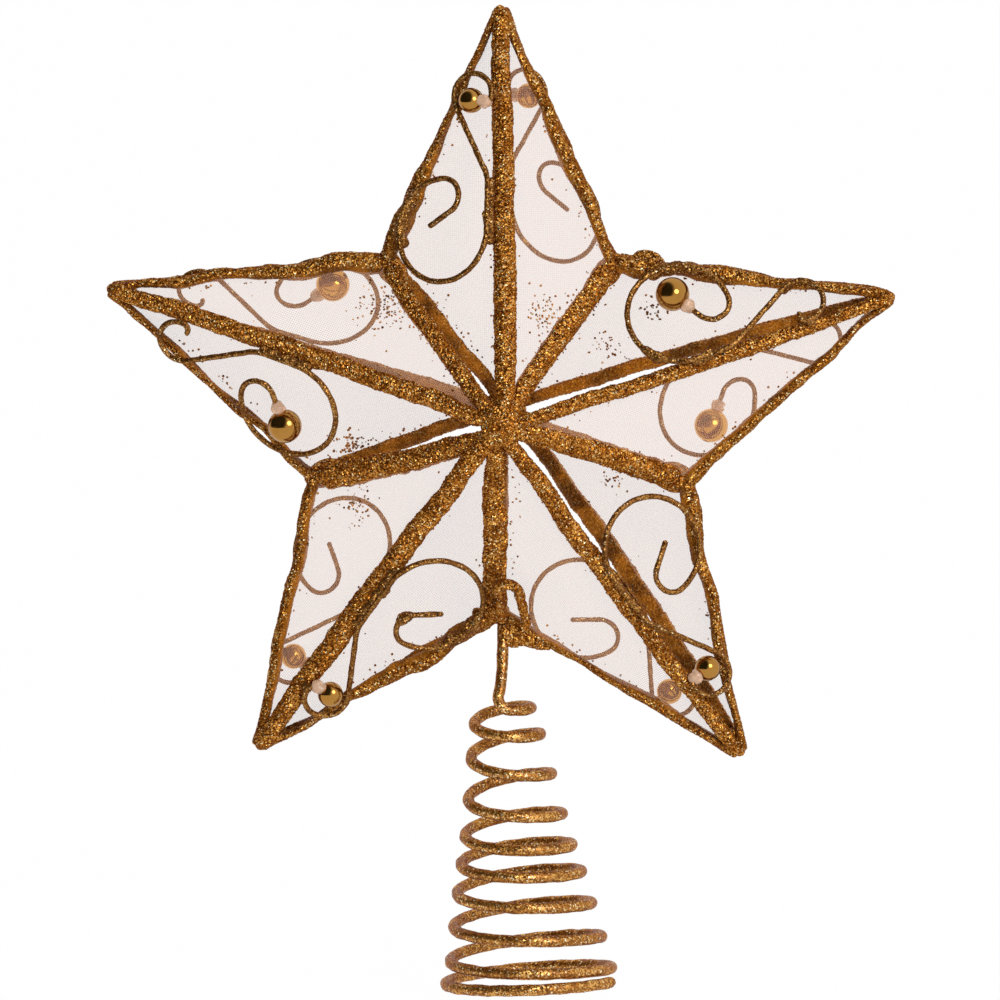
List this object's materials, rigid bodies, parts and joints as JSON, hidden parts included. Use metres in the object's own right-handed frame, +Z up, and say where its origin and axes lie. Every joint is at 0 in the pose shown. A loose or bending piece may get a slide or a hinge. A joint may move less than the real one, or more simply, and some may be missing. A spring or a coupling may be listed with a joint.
{
  "type": "christmas tree topper star",
  "caption": "Hollow wire star with glitter-coated frame, sheer mesh panels, scrolls and gold beads, on a conical spring that slips over the top shoot of a tree.",
  "frame": {"origin": "centre of the mouth of the spring, where the tree's top shoot goes in", "axes": "+Z up along the star's upright arm, +X to the star's right seen from the front, the front faces -Y"},
  "size_m": [0.1874, 0.0592, 0.2336],
  "materials": {
    "glitter_outline": "coarse copper-gold glitter in glue",
    "glitter_spoke": "coarse copper-gold glitter in glue",
    "glitter_scroll": "fine copper-gold glitter",
    "glitter_spring": "copper-gold glitter, smoother than the star",
    "glitter_glue": "lumpy glue full of copper-gold glitter",
    "clear_glue": "clear hot glue, faintly pink",
    "gold_bead": "metallised gold, mirror bright",
    "sheer_mesh": "sheer off-white plain weave"
  },
  "bodies": {
    "spring": {"tree_spring": "glitter_spring"},
    "stem": {"stem_wire": "glitter_spring"},
    "star": {"back_beads": "gold_bead", "back_bottom_valley_wire": "glitter_spoke", "back_left_mesh_panel": "sheer_mesh", "back_left_ridge_wire": "glitter_spoke", "back_left_scroll_wire": "glitter_scroll", "back_lower_left_mesh_panel": "sheer_mesh", "back_lower_left_ridge_wire": "glitter_spoke", "back_lower_left_scroll_wire": "glitter_scroll", "back_lower_left_valley_wire": "glitter_spoke", "back_lower_right_mesh_panel": "sheer_mesh", "back_lower_right_ridge_wire": "glitter_spoke", "back_lower_right_scroll_wire": "glitter_scroll", "back_lower_right_valley_wire": "glitter_spoke", "back_right_mesh_panel": "sheer_mesh", "back_right_ridge_wire": "glitter_spoke", "back_right_scroll_wire": "glitter_scroll", "back_top_mesh_panel": "sheer_mesh", "back_top_ridge_wire": "glitter_spoke", "back_top_scroll_wire": "glitter_scroll", "back_upper_left_valley_wire": "glitter_spoke", "back_upper_right_valley_wire": "glitter_spoke", "bead_glue_drops": "clear_glue", "front_beads": "gold_bead", "front_bottom_valley_wire": "glitter_spoke", "front_left_mesh_panel": "sheer_mesh", "front_left_ridge_wire": "glitter_spoke", "front_left_scroll_wire": "glitter_scroll", "front_lower_left_mesh_panel": "sheer_mesh", "front_lower_left_ridge_wire": "glitter_spoke", "front_lower_left_scroll_wire": "glitter_scroll", "front_lower_left_valley_wire": "glitter_spoke", "front_lower_right_mesh_panel": "sheer_mesh", "front_lower_right_ridge_wire": "glitter_spoke", "front_lower_right_scroll_wire": "glitter_scroll", "front_lower_right_valley_wire": "glitter_spoke", "front_right_mesh_panel": "sheer_mesh", "front_right_ridge_wire": "glitter_spoke", "front_right_scroll_wire": "glitter_scroll", "front_top_mesh_panel": "sheer_mesh", "front_top_ridge_wire": "glitter_spoke", "front_top_scroll_wire": "glitter_scroll", "front_upper_left_valley_wire": "glitter_spoke", "front_upper_right_valley_wire": "glitter_spoke", "hub_glue": "glitter_glue", "left_to_lower_left_outline_wires": "glitter_outline", "left_to_upper_left_outline_wires": "glitter_outline", "lower_left_to_bottom_outline_wires": "glitter_outline", "lower_left_to_lower_left_outline_wires": "glitter_outline", "lower_right_to_bottom_outline_wires": "glitter_outline", "lower_right_to_lower_right_outline_wires": "glitter_outline", "right_to_lower_right_outline_wires": "glitter_outline", "right_to_upper_right_outline_wires": "glitter_outline", "stem_hook": "glitter_glue", "tip_glue": "glitter_glue", "top_to_upper_left_outline_wires": "glitter_outline", "top_to_upper_right_outline_wires": "glitter_outline", "valley_glue": "glitter_glue"}
  },
  "joints": [
    {"name": "spring_press", "type": "slide", "parent": "spring", "child": "stem", "axis": [-0.0993, 0, 0.9951], "range_m": [-0.02, 0], "stiffness_N_per_m": 1200, "deforming": ["tree_spring"]},
    {"name": "star_lean", "type": "hinge", "parent": "stem", "child": "star", "pos_m": [-0.0074, 0, 0.08788], "axis": [0, 1, 0], "range_deg": [-12, 12]}
  ]
}
